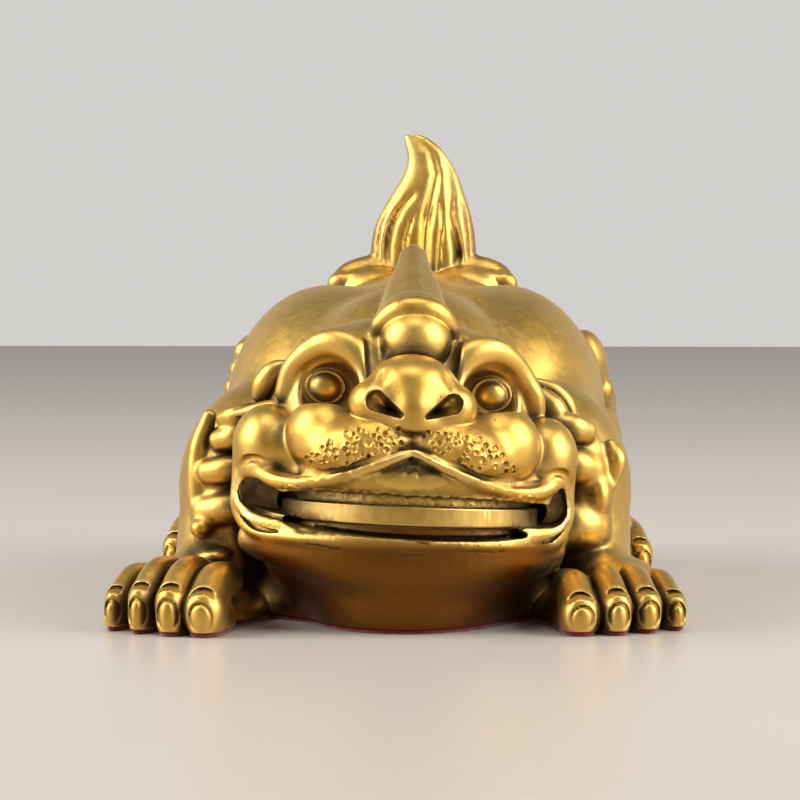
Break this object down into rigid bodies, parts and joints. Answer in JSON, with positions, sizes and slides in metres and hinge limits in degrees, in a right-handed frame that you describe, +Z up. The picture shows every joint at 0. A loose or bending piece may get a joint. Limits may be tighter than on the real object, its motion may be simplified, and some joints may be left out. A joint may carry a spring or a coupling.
{
  "type": "pixiu figure",
  "caption": "Crouching cast brass pixiu with a coin between its jaws, a horn along its neck and a flame tail, on a felt pad.",
  "frame": {"origin": "the middle of the flat underside of the felt, on the middle plane of the body", "axes": "+Z up, -Y the way the face looks, +X to the right of someone facing the face"},
  "size_m": [0.1278, 0.1718, 0.1117],
  "materials": {
    "brass": "satin cast brass, brushed and rubbed on the high places, with dark patina in the hollows",
    "felt": "red wool felt"
  },
  "bodies": {
    "root": {"pixiu": "brass", "felt_pad": "felt"}
  },
  "joints": []
}
